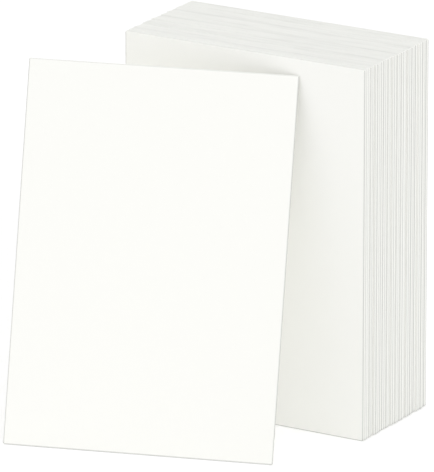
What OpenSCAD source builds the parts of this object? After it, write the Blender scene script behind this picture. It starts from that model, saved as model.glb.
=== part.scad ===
// Pack of heavy white construction paper, standing on its short edge, with one sheet leaning
// against its front. The origin is the middle of the pack's foot, on the surface that it stands on:
// X runs along the sheets, Y from the front of the pack to its back, and Z up.

/* [Sheet] */
// Width of one sheet, its short side
sheet_w = 127; // [60:1:300]
// Height of one sheet, its long side
sheet_h = 177.8; // [90:0.1:430]
// Thickness of one sheet
sheet_t = 0.38; // [0.1:0.01:1]

/* [Pack] */
// Number of sheets that stand in the pack
sheet_count = 149; // [10:1:250]
// Number of sheets in a lift, the handful that is picked up and squared as one
lift_size = 5; // [5:1:10]
// Number of lifts that go under the knife together
lifts_per_cut = 2; // [1:1:10]
// Air that stays between two sheets
air_gap = 0.02; // [0.01:0.01:0.1]

/* [Cutting and squaring] */
// How much higher or lower than the sheet height one cut may come out
cut_tolerance = 0.08; // [0:0.01:1]
// How much one top corner of a cut may stand above or below its middle
skew_tolerance = 0.04; // [0:0.01:0.5]
// How far a whole lift may stand out to one side
lift_slip = 0.4; // [0:0.05:1]
// How far one sheet may stand out from its lift
sheet_slip = 0.05; // [0:0.01:0.2]
// Which chance arrangement the sheets have fallen into
arrangement = 4; // [1:1:50]

/* [Leaning sheet] */
// Angle between the leaning sheet and the upright
lean_angle = 17; // [5:0.5:40]
// Angle between the leaning sheet's foot and the front of the pack
turn_angle = 17.25; // [0:0.25:40]
// Place along the front of the pack where the top corner touches it
touch_x = 29.4; // [-40:0.1:55]
// Space left between that corner and the pack
touch_gap = 0.05; // [0.01:0.01:0.3]

/* [Hidden] */
// One sheet and its air
pitch = sheet_t + air_gap;
pack_d = sheet_count * pitch - air_gap;
front_y = -pack_d / 2;

// The leaning sheet is the first of the front lift, which is therefore one short
lift_count = ceil((sheet_count + 1) / lift_size);
cut_count = ceil(lift_count / lifts_per_cut);

// Chance values between -1 and 1, one list for each thing that varies. Each draw is a whole number
// that parts its list from the others in every arrangement.
height_draw = 100;
skew_draw = 200;
lift_draw = 300;
sheet_draw = 400;
function chance(count, draw) = rands(-1, 1, count, arrangement + draw);
height_chance = chance(cut_count, height_draw);
skew_chance = chance(cut_count, skew_draw);
lift_chance = chance(lift_count, lift_draw);
sheet_chance = chance(sheet_count, sheet_draw);

function first_sheet(lift) = max(1, (lift - 1) * lift_size);
function last_sheet(lift) = min(sheet_count, lift * lift_size - 1);
function cut_of(lift) = ceil(lift / lifts_per_cut);
function two_digits(number) = str(number < 10 ? "0" : "", number);
function lift_name(lift) = str("lift_", two_digits(lift));

function sheet_x(lift, sheet) = lift_slip * lift_chance[lift - 1] + sheet_slip * sheet_chance[sheet - 1];
function sheet_y(sheet) = front_y + (sheet - 1) * pitch;
function cut_height(lift) = sheet_h + cut_tolerance * height_chance[cut_of(lift) - 1];
function cut_skew(lift) = skew_tolerance * skew_chance[cut_of(lift) - 1];

// The leaning sheet stands on the back edge of its foot. Its depth is measured on the level,
// from the front edge of its foot to the back of its top edge.
foot_rise = sheet_t * sin(lean_angle);
lean_depth = sheet_h * sin(lean_angle) + sheet_t * cos(lean_angle);
foot_x = touch_x - sheet_w * cos(turn_angle) + lean_depth * sin(turn_angle);
foot_y = front_y - touch_gap - sheet_w * sin(turn_angle) - lean_depth * cos(turn_angle);

paper_color = [0.99, 0.99, 0.97];

// A sheet of the given heights at its left and right, upright, with its front face on the XZ plane
module sheet(left_h, right_h) {
    outline = [[0, 0], [sheet_w, 0], [sheet_w, right_h], [0, left_h]];
    translate([0, sheet_t, 0])
        rotate([90, 0, 0])
            linear_extrude(height = sheet_t)
                polygon(outline);
}

// The sheets of one lift, each on its foot and with its own small slip to the side
module lift(lift) {
    height = cut_height(lift);
    skew = cut_skew(lift);
    color(paper_color)
        for (sheet = [first_sheet(lift) : last_sheet(lift)])
            translate([sheet_x(lift, sheet) - sheet_w / 2, sheet_y(sheet), 0])
                sheet(height - skew, height + skew);
}

// The sheet taken from the front of the pack, with one top corner against it
module leaning_sheet() {
    color(paper_color)
        translate([foot_x, foot_y, foot_rise])
            rotate([0, 0, turn_angle])
                rotate([-lean_angle, 0, 0])
                    sheet(sheet_h, sheet_h);
}

for (number = [1 : lift_count])
    lift(number);
leaning_sheet();
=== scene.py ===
"""A pack of heavy white construction paper: squared sheets on their short edge, and one that leans in front.

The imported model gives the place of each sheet. Each lift of the pack and the leaning sheet are made again
here as sheets with knife-rounded rims and cut edges, and a pale stage with soft light and a long lens shows
them.
"""

import math

import bpy
import numpy as np
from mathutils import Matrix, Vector


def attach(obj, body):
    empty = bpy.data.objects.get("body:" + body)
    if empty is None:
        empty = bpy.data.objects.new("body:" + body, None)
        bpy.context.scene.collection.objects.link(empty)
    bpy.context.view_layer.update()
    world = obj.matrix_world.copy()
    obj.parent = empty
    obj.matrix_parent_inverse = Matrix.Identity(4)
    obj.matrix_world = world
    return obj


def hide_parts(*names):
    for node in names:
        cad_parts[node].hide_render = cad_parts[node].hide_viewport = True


bl_info = {
    "name": "Construction Paper Pack",
    "version": (1, 0, 0),
    "blender": (4, 5, 0),
    "location": "View3D > Sidebar > Paper",
    "description": "Builds a standing pack of paper with one leaning sheet, and a pale stage round it",
    "category": "Object",
}

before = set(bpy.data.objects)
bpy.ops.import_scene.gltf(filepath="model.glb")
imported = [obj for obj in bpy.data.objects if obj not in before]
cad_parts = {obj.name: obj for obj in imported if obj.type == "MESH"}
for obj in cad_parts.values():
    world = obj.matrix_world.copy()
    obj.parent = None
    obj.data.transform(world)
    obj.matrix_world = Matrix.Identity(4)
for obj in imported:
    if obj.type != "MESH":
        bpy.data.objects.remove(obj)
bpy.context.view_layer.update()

BODY = "root"
LEANING_NODE = "leaning_sheet"
LIFT_NODES = sorted(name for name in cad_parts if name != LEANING_NODE)
# The place in its node of each sheet whose face lies open, front to back, and how strongly the knife pressed its
# foot, right side, top and left side, a pressed line that also carries painted shade along the edge and a
# painted contact shadow at the foot
OPEN_SHEETS = {
    LEANING_NODE: (0, (1.0, 1.0, 1.0, 1.0)),
    LIFT_NODES[0]: (0, (1.0, 0.4, 0.0, 1.0)),
    LIFT_NODES[-1]: (-1, (1.0, 1.0, 0.0, 1.0)),
}
CORNERS_PER_SHEET = 8
LIFT_SIZE = 5
TONE_AND_SHADE_ATTRIBUTE = "edge_tone_and_gap_shade"
RIM_AND_SHADE_ATTRIBUTE = "knife_rim_and_shade"
STREAK_ATTRIBUTE = "knife_streaks"
UP = np.array([0.0, 0.0, 1.0])
# Streaks of the cut sides: their width across the sheets, and how much longer they are along each axis
STREAK_WIDTH = 0.0022
STREAK_STRETCH = (12.0, 1.0, 150.0)

# The photograph's frame in pixels, and the camera sensor's long side in millimetres
PHOTO_HEIGHT = 472
SENSOR = 36.0
# The focal length in pixels of that frame, fitted to the corners of the pack and the leaning sheet
FOCAL_PIXELS = 8101


class PaperSheetSettings(bpy.types.PropertyGroup):
    """Sizes of the rim that the knife leaves round each sheet"""

    rim_width: bpy.props.FloatProperty(
        name="Rim Width",
        description="How far in from a cut edge the sheet's face is rolled over by the knife",
        default=0.0005,
        min=0.00005,
        max=0.002,
        precision=5,
        unit="LENGTH",
    )
    rim_drop: bpy.props.FloatProperty(
        name="Rim Drop",
        description="How far the rolled rim falls below the sheet's face at the cut edge",
        default=0.00003,
        min=0.000001,
        max=0.00015,
        precision=5,
        unit="LENGTH",
    )
    rim_steps: bpy.props.IntProperty(
        name="Rim Steps",
        description="Bands of faces across the rim of a sheet whose face lies open; the others have one",
        default=3,
        min=1,
        max=12,
    )
    closed_rim: bpy.props.FloatProperty(
        name="Closed Rim",
        description="Share of the rolled rim that a sheet inside the pack has",
        default=0.1,
        min=0.001,
        max=1.0,
        subtype="FACTOR",
    )
    corner_radius: bpy.props.FloatProperty(
        name="Corner Radius",
        description="Softening of the sheet's cut corners",
        default=0.00045,
        min=0.00003,
        max=0.005,
        precision=5,
        unit="LENGTH",
    )
    corner_points: bpy.props.IntProperty(
        name="Corner Points",
        description="Points of the outline round each corner",
        default=3,
        min=2,
        max=12,
    )
    # The dark sheets where lifts meet are painted shade of the gaps between lifts; the chance share below is the
    # sheets' own tone
    dark_share: bpy.props.FloatProperty(
        name="Dark Share",
        description="Share of a lift's sheets that the knife left dark",
        default=0.4,
        min=0.0,
        max=1.0,
        subtype="FACTOR",
    )
    dark_place: bpy.props.FloatProperty(
        name="Dark Place",
        description="Middle of the dark sheets: 0 is where two lifts meet, and 0.5 is the middle of a lift",
        default=0.0,
        min=0.0,
        max=1.0,
        subtype="FACTOR",
    )
    tone_chance: bpy.props.FloatProperty(
        name="Tone Chance",
        description="How much of a sheet's tone is chance, on the cut sides",
        default=0.1,
        min=0.0,
        max=1.0,
        subtype="FACTOR",
    )
    end_tone: bpy.props.FloatProperty(
        name="End Tone",
        description="Darkest tone that a lift may have on the top and the foot",
        default=0.13,
        min=0.0,
        max=1.0,
        subtype="FACTOR",
    )
    upright_streaks: bpy.props.FloatProperty(
        name="Upright Streaks",
        description="Share of the knife's streaks on the upright sides; the top and the foot have all",
        default=0.3,
        min=0.0,
        max=1.0,
        subtype="FACTOR",
    )
    tone_seed: bpy.props.IntProperty(
        name="Tone Seed",
        description="Which chance order of lighter and darker sheets the pack has",
        default=192,
        min=0,
        max=1000,
    )


class PaperFinishSettings(bpy.types.PropertyGroup):
    """Colours and surface of the paper, and the shade painted on its cut edges"""

    face_color: bpy.props.FloatVectorProperty(
        name="Face Color",
        description="Ivory white of a sheet's face",
        subtype="COLOR",
        size=3,
        min=0.0,
        max=1.0,
        default=(0.980, 0.980, 0.945),
    )
    edge_color: bpy.props.FloatVectorProperty(
        name="Edge Color",
        description="White of the fibres that the knife cut, where nothing darkens them",
        subtype="COLOR",
        size=3,
        min=0.0,
        max=1.0,
        default=(0.995, 1.0, 0.962),
    )
    cloud_size: bpy.props.FloatProperty(
        name="Cloud Size",
        description="Size of the faint clouds that the fibres form in the sheet",
        default=0.006,
        min=0.0005,
        max=0.05,
        unit="LENGTH",
    )
    cloud_contrast: bpy.props.FloatProperty(
        name="Cloud Contrast",
        description="How much darker than the face color the clouds are",
        default=0.006,
        min=0.0,
        max=0.2,
        subtype="FACTOR",
    )
    tooth_size: bpy.props.FloatProperty(
        name="Tooth Size",
        description="Distance between the small hills of the uncoated surface",
        default=0.0005,
        min=0.0001,
        max=0.005,
        precision=5,
        unit="LENGTH",
    )
    tooth_height: bpy.props.FloatProperty(
        name="Tooth Height",
        description="Height of the small hills of the uncoated surface",
        default=0.000006,
        min=0.0,
        max=0.0005,
        precision=6,
        unit="LENGTH",
    )
    streak_contrast: bpy.props.FloatProperty(
        name="Streak Contrast",
        description="How much darker than the edge color the streaks of a cut side are",
        default=0.21,
        min=0.0,
        max=0.5,
        subtype="FACTOR",
    )
    streak_height: bpy.props.FloatProperty(
        name="Streak Height",
        description="Height of the ridges that the knife left along the streaks",
        default=0.00004,
        min=0.0,
        max=0.0005,
        precision=6,
        unit="LENGTH",
    )
    # Darkness of the painted shade where lifts meet, together with each sheet's own tone, on the cut edges
    tone_and_gap_shade_contrast: bpy.props.FloatProperty(
        name="Tone Contrast",
        description="How much darker the edge of one sheet may be than that of another",
        default=0.335,
        min=0.0,
        max=0.5,
        subtype="FACTOR",
    )
    # Pressed line along a sheet's outline, partly painted shade along the edge and painted contact shadow at the
    # foot
    rim_and_edge_shade_contrast: bpy.props.FloatProperty(
        name="Rim Contrast",
        description="How much darker the pressed line along a sheet's outline is",
        default=0.13,
        min=0.0,
        max=0.5,
        subtype="FACTOR",
    )
    # Painted contact shadow on the cut edges near the floor: how dark it is, and the height at which it fades
    # out
    contact_shadow_contrast: bpy.props.FloatProperty(
        name="Foot Contrast",
        description="How much darker the cut edges are where they stand on the floor",
        default=0.2,
        min=0.0,
        max=0.5,
        subtype="FACTOR",
    )
    contact_shadow_height: bpy.props.FloatProperty(
        name="Foot Height",
        description="Height above the floor at which that darkening has faded out",
        default=0.0014,
        min=0.0001,
        max=0.01,
        precision=5,
        unit="LENGTH",
    )
    roughness: bpy.props.FloatProperty(
        name="Roughness",
        description="Roughness of the uncoated surface",
        default=0.85,
        min=0.0,
        max=1.0,
        subtype="FACTOR",
    )


class PaperStageSettings(bpy.types.PropertyGroup):
    """Floor, light and camera"""

    camera_azimuth: bpy.props.FloatProperty(
        name="Camera Azimuth",
        description="Turn of the camera round the pack, from straight in front towards its right side",
        subtype="ANGLE",
        default=math.radians(30.75),
    )
    camera_elevation: bpy.props.FloatProperty(
        name="Camera Elevation",
        description="Height of the camera above the horizon",
        subtype="ANGLE",
        default=math.radians(17.45),
    )
    camera_distance: bpy.props.FloatProperty(
        name="Camera Distance",
        description="Distance from the camera to the point that it looks at",
        default=3.77,
        min=0.3,
        max=20.0,
        unit="LENGTH",
    )
    camera_target: bpy.props.FloatVectorProperty(
        name="Camera Target",
        description="Point that the camera looks at",
        subtype="TRANSLATION",
        size=3,
        default=(-0.0320, 0.0, 0.0756),
    )
    focal_length: bpy.props.FloatProperty(
        name="Focal Length",
        description="Focal length of the lens in millimetres",
        default=FOCAL_PIXELS / PHOTO_HEIGHT * SENSOR,
        min=20.0,
        max=2000.0,
    )
    floor_size: bpy.props.FloatProperty(
        name="Floor Size",
        description="Side of the square floor",
        default=30.0,
        min=1.0,
        max=100.0,
        unit="LENGTH",
    )
    floor_color: bpy.props.FloatVectorProperty(
        name="Floor Color",
        description="White of the floor",
        subtype="COLOR",
        size=3,
        min=0.0,
        max=1.0,
        default=(0.99, 0.99, 0.99),
    )
    floor_lift: bpy.props.FloatProperty(
        name="Floor Lift",
        description="Share of full white that the camera sees on the floor besides its lit color",
        default=0.19,
        min=0.0,
        max=1.0,
        subtype="FACTOR",
    )
    room_light: bpy.props.FloatProperty(
        name="Room Light",
        description="Strength of the even light that comes from all round",
        default=0.775,
        min=0.0,
        max=2.0,
    )
    key_light: bpy.props.FloatProperty(
        name="Key Light",
        description="Brightness that the key lamp alone gives a white surface that faces it",
        default=0.216,
        min=0.0,
        max=2.0,
    )
    key_azimuth: bpy.props.FloatProperty(
        name="Key Azimuth",
        description="Turn of the key lamp round the pack, from straight in front towards its right side",
        subtype="ANGLE",
        default=math.radians(48.0),
    )
    key_elevation: bpy.props.FloatProperty(
        name="Key Elevation",
        description="Height of the key lamp above the horizon",
        subtype="ANGLE",
        default=math.radians(23.0),
    )
    gap_light: bpy.props.FloatProperty(
        name="Gap Light",
        description="Brightness that the lamp behind the leaning sheet gives a white surface that faces it",
        default=0.26,
        min=0.0,
        max=2.0,
    )
    gap_azimuth: bpy.props.FloatProperty(
        name="Gap Azimuth",
        description="Turn of that lamp round the pack, from straight in front towards its right side",
        subtype="ANGLE",
        default=math.radians(-100.0),
    )
    gap_elevation: bpy.props.FloatProperty(
        name="Gap Elevation",
        description="Height of that lamp above the horizon",
        subtype="ANGLE",
        default=math.radians(10.0),
    )
    lamp_spread: bpy.props.FloatProperty(
        name="Lamp Spread",
        description="Angle that each lamp fills as seen from the pack, which softens its shadows",
        subtype="ANGLE",
        default=math.radians(20.0),
    )


def sheet_corners(node):
    """The corner points of each sheet in a CAD node, as an array of sheets by eight corners by three.

    The sheets of a lift stand one behind another, so their corners in order of depth fall into eights.
    """
    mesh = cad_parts[node].data
    points = np.empty(len(mesh.vertices) * 3, np.float32)
    mesh.vertices.foreach_get("co", points)
    points = np.unique(points.reshape(-1, 3).astype(float).round(6), axis=0)
    if len(points) % CORNERS_PER_SHEET:
        raise RuntimeError(f"{node} isn't made of flat four-cornered sheets")
    points = points[np.argsort(points[:, 1], kind="stable")]
    return points.reshape(-1, CORNERS_PER_SHEET, 3)


def sheet_plan(points):
    """The four corners of a sheet's middle plane, in order round its front, with its normal and thickness.

    The normal is the direction in which the eight points spread least, turned to the front. The corners are
    put in order by their angle about the middle, as seen from the front, from the bottom left one.
    """
    middle = points.mean(axis=0)
    normal = np.linalg.svd(points - middle)[2][2]
    normal = normal * -np.sign(normal[1])
    depth = (points - middle) @ normal
    thickness = np.ptp(depth)
    right = np.cross(UP, normal)
    right = right / np.linalg.norm(right)
    up = np.cross(normal, right)
    front = points[depth > 0]
    across = (front - middle) @ right
    height = (front - middle) @ up
    order = np.argsort(np.arctan2(height, across))
    return front[order] - normal * thickness / 2, normal, thickness


def sheet_surface(corners, normal, thickness, sizes, share, steps):
    """A grid of points round a sheet and the normals there: first across the rim, then round the outline.

    Across the rim the section is a quarter ellipse, whose half axes are a share of the rim's width and drop,
    then the straight cut, then the same ellipse again. At each step the outline is the sheet's outline moved in
    by the ellipse's distance from the cut, with every corner an arc that is tangent to both its sides. The
    normals are the ellipse's own: outwards by the sine of its angle times its drop, and forwards by the cosine
    times its width.
    """
    turn = np.linspace(0.0, math.pi / 2, steps + 1)
    width = sizes.rim_width * share
    drop = sizes.rim_drop * share
    inset = width * (1.0 - np.sin(turn))
    offset = thickness / 2 - drop * (1.0 - np.cos(turn))
    forwards = width * np.cos(turn)
    outwards = drop * np.sin(turn)
    inset = np.concatenate([inset, inset[::-1]])[:, None, None, None]
    offset = np.concatenate([offset, -offset[::-1]])[:, None, None, None]
    forwards = np.concatenate([forwards, -forwards[::-1]])[:, None, None, None]
    outwards = np.concatenate([outwards, outwards[::-1]])[:, None, None, None]

    ahead = np.roll(corners, -1, axis=0) - corners
    ahead = ahead / np.linalg.norm(ahead, axis=1, keepdims=True)
    behind = -np.roll(ahead, 1, axis=0)
    least_radius = sizes.corner_radius / 5
    radius = np.maximum(sizes.corner_radius - inset, least_radius)
    arc = np.linspace(0.0, math.pi / 2, sizes.corner_points)[None, None, :, None]
    along_ahead = inset + radius * (1.0 - np.cos(arc))
    along_behind = inset + radius * (1.0 - np.sin(arc))
    ahead = ahead[None, :, None, :]
    behind = behind[None, :, None, :]
    grid = corners[None, :, None, :] + along_ahead * ahead + along_behind * behind + offset * normal
    normals = forwards * normal - outwards * (np.cos(arc) * ahead + np.sin(arc) * behind)
    normals = normals / np.linalg.norm(normals, axis=-1, keepdims=True)
    return grid.reshape(len(turn) * 2, -1, 3), normals.reshape(len(turn) * 2, -1, 3)


def grid_faces(rings, around):
    """Faces of a surface with that many rings of that many points: the bands, then the two end caps."""
    ring = np.arange(rings - 1)[:, None] * around
    point = np.arange(around)[None, :]
    following = (point + 1) % around
    bands = np.stack(
        [ring + point, ring + around + point, ring + around + following, ring + following],
        axis=-1,
    ).reshape(-1, 4)
    front_cap = np.arange(around)[None, :]
    back_cap = (rings - 1) * around + np.arange(around)[None, ::-1]
    return bands, np.concatenate([front_cap, back_cap])


def mesh_from_faces(name, vertices, groups, normals=None):
    """A mesh of the given vertices, and of groups of faces as arrays with one row for each face.

    Each group comes with its material index. Where normals are given, one for each vertex, the faces are
    shaded with them.
    """
    mesh = bpy.data.meshes.new(name)
    sides = np.concatenate([np.full(len(faces), faces.shape[1]) for faces, _ in groups])
    starts = np.concatenate([[0], np.cumsum(sides)[:-1]])
    mesh.vertices.add(len(vertices))
    mesh.vertices.foreach_set("co", vertices.astype(np.float32).ravel())
    mesh.loops.add(int(sides.sum()))
    mesh.loops.foreach_set("vertex_index", np.concatenate([faces.ravel() for faces, _ in groups]))
    mesh.polygons.add(len(sides))
    mesh.polygons.foreach_set("loop_start", starts)
    mesh.polygons.foreach_set("material_index", np.concatenate([np.full(len(f), m) for f, m in groups]))
    mesh.update(calc_edges=True)
    if mesh.validate():
        raise RuntimeError(f"the faces of {name} don't close")
    if normals is not None:
        mesh.shade_smooth()
        mesh.normals_split_custom_set_from_vertices(normals)
    return mesh


def edge_tones_and_gap_shade(count, sizes, draw):
    """How dark the cut edges of one lift's sheets are, between 0 and 1, with a row for each sheet.

    On the upright sides the sheets nearest to the dark place are dark and the rest pale, which is painted shade
    of the gaps where lifts meet that also darkens those sides, and each tone is moved by its chance share, the
    sheets' own tone. Lifts follow each other, so a dark place at one lift's end takes in the next one's front
    too. On the top and the foot a lift has one tone, the cube of a chance number, so that most lifts are pale.
    The columns are the foot, the right side, the top and the left side, as in the outline.
    """
    place = (np.arange(count) + 0.5) / LIFT_SIZE
    away = abs((place - sizes.dark_place + 0.5) % 1.0 - 0.5)
    # Painted shade: the sheets on either side of where two lifts meet are dark
    step = (away < sizes.dark_share / 2).astype(float)[:, None]
    upright = step + (draw.random((count, 4)) - step) * sizes.tone_chance
    level = draw.random(4) ** 3 * sizes.end_tone
    return np.where([False, True, False, True], upright, level)


def values_round(sides, sizes):
    """A value at each point round a sheet's outline, from a value for each side.

    Round a corner's arc the value falls evenly from one side's to nothing and rises to the next side's. So the
    rounded corners are left pale, a painted highlight added to the light that their slope catches, which draws a
    light line where two cut sides meet.
    """
    turn = np.linspace(-1.0, 1.0, sizes.corner_points)[None, :]
    behind = np.roll(sides, 1)[:, None]
    ahead = sides[:, None]
    return (np.where(turn < 0.0, behind, ahead) * abs(turn)).ravel()


def ring_shares(steps):
    """How strongly each ring belongs to the cut and to the rim: the sine and cosine of its angle."""
    turn = np.linspace(0.0, math.pi / 2, steps + 1)
    turn = np.concatenate([turn, turn[::-1]])
    return np.sin(turn), np.cos(turn)


def add_attribute(mesh, name, values):
    """A number at each vertex of the mesh, which the materials read."""
    attribute = mesh.attributes.new(name, "FLOAT", "POINT")
    attribute.data.foreach_set("value", np.concatenate(values).astype(np.float32))


def sheets_object(name, node, sizes, finish, draw):
    """One object that holds every sheet of a CAD node, each as its own closed surface."""
    vertices, normals, bands, caps, tones_and_shade, rims, streaks = [], [], [], [], [], [], []
    sheets = sheet_corners(node)
    streak_shares = np.array([1.0, sizes.upright_streaks, 1.0, sizes.upright_streaks])
    # Strength of the pressed line on each side of each open sheet, with its painted edge shade and painted
    # contact shadow
    pressed = np.zeros((len(sheets), 4))
    if node in OPEN_SHEETS:
        place, strengths = OPEN_SHEETS[node]
        pressed[place] = strengths
    for points, sheet_tones_and_shade, sheet_rim_and_shade in zip(sheets, edge_tones_and_gap_shade(len(sheets), sizes, draw), pressed):
        share, steps = (1.0, sizes.rim_steps) if sheet_rim_and_shade.any() else (sizes.closed_rim, 1)
        surface, surface_normals = sheet_surface(*sheet_plan(points), sizes, share, steps)
        rings, around = surface.shape[:2]
        sheet_bands, sheet_caps = grid_faces(rings, around)
        first = sum(len(part) for part in vertices)
        vertices.append(surface.reshape(-1, 3))
        normals.append(surface_normals.reshape(-1, 3))
        bands.append(sheet_bands + first)
        caps.append(sheet_caps + first)
        cut_share, rim_share = ring_shares(steps)
        tones_and_shade.append(np.outer(cut_share, values_round(sheet_tones_and_shade, sizes)).ravel())
        rims.append(np.outer(rim_share, values_round(sheet_rim_and_shade, sizes)).ravel())
        streaks.append(np.outer(cut_share, values_round(streak_shares, sizes)).ravel())
    groups = [(np.concatenate(caps), 0), (np.concatenate(bands), 1)]
    mesh = mesh_from_faces(name, np.concatenate(vertices), groups, np.concatenate(normals))
    add_attribute(mesh, TONE_AND_SHADE_ATTRIBUTE, tones_and_shade)
    add_attribute(mesh, RIM_AND_SHADE_ATTRIBUTE, rims)
    add_attribute(mesh, STREAK_ATTRIBUTE, streaks)
    mesh.materials.append(paper_face_material(finish))
    mesh.materials.append(cut_edge_material(finish))
    made = bpy.data.objects.new(name, mesh)
    bpy.context.scene.collection.objects.link(made)
    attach(made, BODY)
    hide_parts(node)
    return made


def new_material(name):
    """An empty node material, with its node tree and its output."""
    material = bpy.data.materials.new(name)
    material.use_nodes = True
    material.node_tree.nodes.clear()
    output = material.node_tree.nodes.new("ShaderNodeOutputMaterial")
    return material, material.node_tree, output


def add_noise(tree, size, detail, stretch=(1.0, 1.0, 1.0)):
    """Noise on the piece's own coordinates, with spots of the given size, stretched along each axis."""
    place = tree.nodes.new("ShaderNodeTexCoord")
    mapping = tree.nodes.new("ShaderNodeMapping")
    noise = tree.nodes.new("ShaderNodeTexNoise")
    mapping.inputs["Scale"].default_value = [1.0 / (size * s) for s in stretch]
    noise.inputs["Scale"].default_value = 1.0
    noise.inputs["Detail"].default_value = detail
    tree.links.new(place.outputs["Object"], mapping.inputs["Vector"])
    tree.links.new(mapping.outputs["Vector"], noise.inputs["Vector"])
    return noise.outputs["Fac"]


def add_reading(tree, name):
    """The value of a mesh attribute."""
    node = tree.nodes.new("ShaderNodeAttribute")
    node.attribute_name = name
    return node.outputs["Fac"]


def add_math(tree, operation, first, second):
    """A math node on two values, each a socket or a number."""
    node = tree.nodes.new("ShaderNodeMath")
    node.operation = operation
    for socket, value in zip(node.inputs, (first, second)):
        if isinstance(value, bpy.types.NodeSocket):
            tree.links.new(value, socket)
        else:
            socket.default_value = value
    return node.outputs[0]


def add_darkening(tree, color, amount):
    """A color multiplied by one less the amount, which is a socket."""
    mix = tree.nodes.new("ShaderNodeMix")
    mix.data_type = "RGBA"
    mix.inputs["A"].default_value = (*color, 1.0)
    mix.inputs["B"].default_value = (0.0, 0.0, 0.0, 1.0)
    tree.links.new(amount, mix.inputs["Factor"])
    return mix.outputs["Result"]


def add_bump(tree, height, distance, ground=None):
    """A bump node whose hills are as high as the distance, on another's hills where one is given."""
    bump = tree.nodes.new("ShaderNodeBump")
    bump.inputs["Strength"].default_value = 1.0
    bump.inputs["Distance"].default_value = distance
    tree.links.new(height, bump.inputs["Height"])
    if ground:
        tree.links.new(ground, bump.inputs["Normal"])
    return bump.outputs["Normal"]


def add_painted_contact_shadow(tree, finish):
    """Painted contact shadow: darkening that is full at the floor and falls evenly to nothing at its height."""
    place = tree.nodes.new("ShaderNodeTexCoord")
    axes = tree.nodes.new("ShaderNodeSeparateXYZ")
    fade = tree.nodes.new("ShaderNodeMapRange")
    fade.inputs["From Max"].default_value = finish.contact_shadow_height
    fade.inputs["To Min"].default_value = finish.contact_shadow_contrast
    fade.inputs["To Max"].default_value = 0.0
    tree.links.new(place.outputs["Object"], axes.inputs["Vector"])
    tree.links.new(axes.outputs["Z"], fade.inputs["Value"])
    return fade.outputs["Result"]


def paper_face_material(finish):
    """Uncoated ivory paper: faint clouds in its color, and a fine tooth in its surface."""
    name = "ivory_paper_face"
    if name in bpy.data.materials:
        return bpy.data.materials[name]
    material, tree, output = new_material(name)
    shader = tree.nodes.new("ShaderNodeBsdfPrincipled")
    shader.inputs["Roughness"].default_value = finish.roughness
    shader.inputs["Specular IOR Level"].default_value = 0.2
    clouds = add_noise(tree, finish.cloud_size, 3.0)
    amount = add_math(tree, "MULTIPLY", clouds, finish.cloud_contrast)
    tooth = add_noise(tree, finish.tooth_size, 4.0)
    tree.links.new(add_darkening(tree, finish.face_color, amount), shader.inputs["Base Color"])
    tree.links.new(add_bump(tree, tooth, finish.tooth_height), shader.inputs["Normal"])
    tree.links.new(shader.outputs["BSDF"], output.inputs["Surface"])
    return material


def cut_edge_material(finish):
    """Knife-cut fibres: a tone for each sheet with painted shade where lifts meet, a pressed rim that is partly
    painted shade, a painted contact shadow at the foot, and streaks.

    The streaks are short along the top and long up the sides. Cubed noise keeps most of the edge pale.
    """
    name = "cut_paper_edge"
    if name in bpy.data.materials:
        return bpy.data.materials[name]
    material, tree, output = new_material(name)
    shader = tree.nodes.new("ShaderNodeBsdfPrincipled")
    shader.inputs["Roughness"].default_value = 0.95
    shader.inputs["Specular IOR Level"].default_value = 0.1
    streaks = add_noise(tree, STREAK_WIDTH, 2.0, STREAK_STRETCH)
    cubed = add_math(tree, "POWER", streaks, 3.0)
    contrast = add_math(tree, "MULTIPLY", add_reading(tree, STREAK_ATTRIBUTE), finish.streak_contrast)
    streak_amount = add_math(tree, "MULTIPLY", cubed, contrast)
    # Each sheet's own tone, with painted shade of the gaps where lifts meet
    tone_and_shade_amount = add_math(tree, "MULTIPLY", add_reading(tree, TONE_AND_SHADE_ATTRIBUTE), finish.tone_and_gap_shade_contrast)
    # Pressed line, partly painted shade along the edge and painted contact shadow at the foot
    rim_and_shade_amount = add_math(tree, "MULTIPLY", add_reading(tree, RIM_AND_SHADE_ATTRIBUTE), finish.rim_and_edge_shade_contrast)
    # Painted contact shadow: the cut edges darken towards the floor, where the sheets stand in their own shade
    contact_shadow_amount = add_painted_contact_shadow(tree, finish)
    amount = add_math(tree, "ADD", streak_amount, add_math(tree, "ADD", tone_and_shade_amount, rim_and_shade_amount))
    amount = add_math(tree, "ADD", amount, contact_shadow_amount)
    fibres = add_noise(tree, finish.tooth_size / 2, 3.0)
    tree.links.new(add_darkening(tree, finish.edge_color, amount), shader.inputs["Base Color"])
    ridges = add_bump(tree, streaks, finish.streak_height)
    tree.links.new(add_bump(tree, fibres, finish.tooth_height, ridges), shader.inputs["Normal"])
    tree.links.new(shader.outputs["BSDF"], output.inputs["Surface"])
    return material


def floor_material(stage):
    """A matt floor that the camera sees a share of full white brighter, so that only deep shadow shows."""
    material, tree, output = new_material("pale_floor")
    diffuse = tree.nodes.new("ShaderNodeBsdfDiffuse")
    diffuse.inputs["Color"].default_value = (*stage.floor_color, 1.0)
    glow = tree.nodes.new("ShaderNodeEmission")
    path = tree.nodes.new("ShaderNodeLightPath")
    seen = add_math(tree, "MAXIMUM", path.outputs["Is Camera Ray"], path.outputs["Is Glossy Ray"])
    seen = add_math(tree, "MAXIMUM", seen, path.outputs["Is Transmission Ray"])
    tree.links.new(add_math(tree, "MULTIPLY", seen, stage.floor_lift), glow.inputs["Strength"])
    both = tree.nodes.new("ShaderNodeAddShader")
    tree.links.new(diffuse.outputs["BSDF"], both.inputs[0])
    tree.links.new(glow.outputs["Emission"], both.inputs[1])
    tree.links.new(both.outputs["Shader"], output.inputs["Surface"])
    return material


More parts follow.
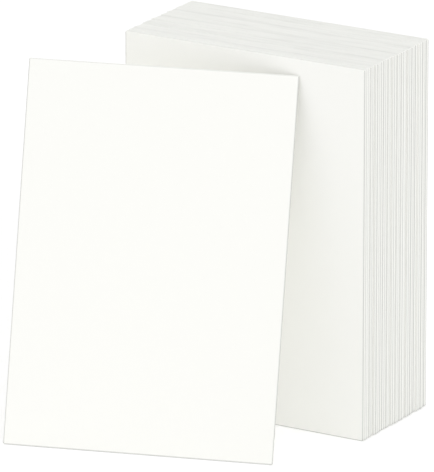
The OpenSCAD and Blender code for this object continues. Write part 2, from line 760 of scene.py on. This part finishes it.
def white_world(stage):
    """A world that lights the scene evenly, and that the camera and mirror rays see as plain white."""
    world = bpy.data.worlds.new("white_room")
    world.use_nodes = True
    tree = world.node_tree
    tree.nodes.clear()
    output = tree.nodes.new("ShaderNodeOutputWorld")
    background = tree.nodes.new("ShaderNodeBackground")
    background.inputs["Color"].default_value = (1.0, 1.0, 1.0, 1.0)
    path = tree.nodes.new("ShaderNodeLightPath")
    seen = add_math(tree, "MAXIMUM", path.outputs["Is Camera Ray"], path.outputs["Is Glossy Ray"])
    seen = add_math(tree, "MAXIMUM", seen, path.outputs["Is Transmission Ray"])
    extra = add_math(tree, "MULTIPLY", seen, 1.0 - stage.room_light)
    tree.links.new(add_math(tree, "ADD", extra, stage.room_light), background.inputs["Strength"])
    tree.links.new(background.outputs["Background"], output.inputs["Surface"])
    bpy.context.scene.world = world
    return world


def direction(azimuth, elevation):
    """Unit vector from the pack towards something at that turn and height."""
    return Vector((
        math.sin(azimuth) * math.cos(elevation),
        -math.cos(azimuth) * math.cos(elevation),
        math.sin(elevation),
    ))


def aim(thing, target, towards, distance):
    """Puts a lamp or camera at the given distance from the target, and turns it to look at it."""
    thing.location = Vector(target) + towards * distance
    thing.rotation_mode = "QUATERNION"
    thing.rotation_quaternion = (-towards).to_track_quat("-Z", "Y")


def link_new(name, data):
    """A new object with that data, in the scene."""
    made = bpy.data.objects.new(name, data)
    bpy.context.scene.collection.objects.link(made)
    return made


def add_lamp(name, stage, brightness, azimuth, elevation):
    """A distant lamp that alone gives a white surface that faces it the wanted brightness."""
    lamp = bpy.data.lights.new(name, "SUN")
    lamp.angle = stage.lamp_spread
    lamp.energy = brightness * math.pi
    aim(link_new(name, lamp), stage.camera_target, direction(azimuth, elevation), stage.camera_distance)


class PAPER_OT_build_lifts(bpy.types.Operator):
    """Build the standing pack, one piece for each lift of sheets"""

    bl_idname = "paper.build_lifts"
    bl_label = "Build Lifts"

    def execute(self, context):
        scene = context.scene
        draw = np.random.default_rng(scene.paper_sheets.tone_seed)
        for node in LIFT_NODES:
            sheets_object(f"paper_{node}", node, scene.paper_sheets, scene.paper_finish, draw)
        return {"FINISHED"}


class PAPER_OT_build_leaning_sheet(bpy.types.Operator):
    """Build the single sheet that leans against the front of the pack"""

    bl_idname = "paper.build_leaning_sheet"
    bl_label = "Build Leaning Sheet"

    def execute(self, context):
        scene = context.scene
        draw = np.random.default_rng(scene.paper_sheets.tone_seed)
        sheets_object("paper_leaning_sheet", LEANING_NODE, scene.paper_sheets, scene.paper_finish, draw)
        return {"FINISHED"}


class PAPER_OT_build_stage(bpy.types.Operator):
    """Build the floor, the lights and the camera"""

    bl_idname = "paper.build_stage"
    bl_label = "Build Stage"

    def execute(self, context):
        stage = context.scene.paper_stage
        half = stage.floor_size / 2
        square = np.array([[-half, -half, 0.0], [half, -half, 0.0], [half, half, 0.0], [-half, half, 0.0]])
        floor = link_new("floor", mesh_from_faces("floor", square, [(np.arange(4)[None, :], 0)]))
        floor.data.materials.append(floor_material(stage))

        white_world(stage)
        add_lamp("key_light", stage, stage.key_light, stage.key_azimuth, stage.key_elevation)
        add_lamp("gap_light", stage, stage.gap_light, stage.gap_azimuth, stage.gap_elevation)

        lens = bpy.data.cameras.new("camera")
        lens.sensor_width = SENSOR
        lens.lens = stage.focal_length
        camera = link_new("camera", lens)
        towards = direction(stage.camera_azimuth, stage.camera_elevation)
        aim(camera, stage.camera_target, towards, stage.camera_distance)
        context.scene.camera = camera
        context.scene.view_settings.view_transform = "Standard"
        return {"FINISHED"}


class PAPER_PT_pack(bpy.types.Panel):
    """Lists the pack's builders and their settings"""

    bl_idname = "PAPER_PT_pack"
    bl_label = "Construction Paper Pack"
    bl_space_type = "VIEW_3D"
    bl_region_type = "UI"
    bl_category = "Paper"

    def draw(self, context):
        layout = self.layout
        scene = context.scene
        for settings in (scene.paper_sheets, scene.paper_finish, scene.paper_stage):
            box = layout.box()
            for name in settings.__annotations__:
                box.prop(settings, name)
        for operator in OPERATORS:
            layout.operator(operator.bl_idname)


OPERATORS = (PAPER_OT_build_lifts, PAPER_OT_build_leaning_sheet, PAPER_OT_build_stage)
CLASSES = (PaperSheetSettings, PaperFinishSettings, PaperStageSettings, *OPERATORS, PAPER_PT_pack)


def register():
    for cls in CLASSES:
        bpy.utils.register_class(cls)
    bpy.types.Scene.paper_sheets = bpy.props.PointerProperty(type=PaperSheetSettings)
    bpy.types.Scene.paper_finish = bpy.props.PointerProperty(type=PaperFinishSettings)
    bpy.types.Scene.paper_stage = bpy.props.PointerProperty(type=PaperStageSettings)


def unregister():
    del bpy.types.Scene.paper_stage
    del bpy.types.Scene.paper_finish
    del bpy.types.Scene.paper_sheets
    for cls in reversed(CLASSES):
        bpy.utils.unregister_class(cls)


def main():
    register()
    bpy.ops.paper.build_lifts()
    bpy.ops.paper.build_leaning_sheet()
    bpy.ops.paper.build_stage()


if __name__ == "__main__":
    main()
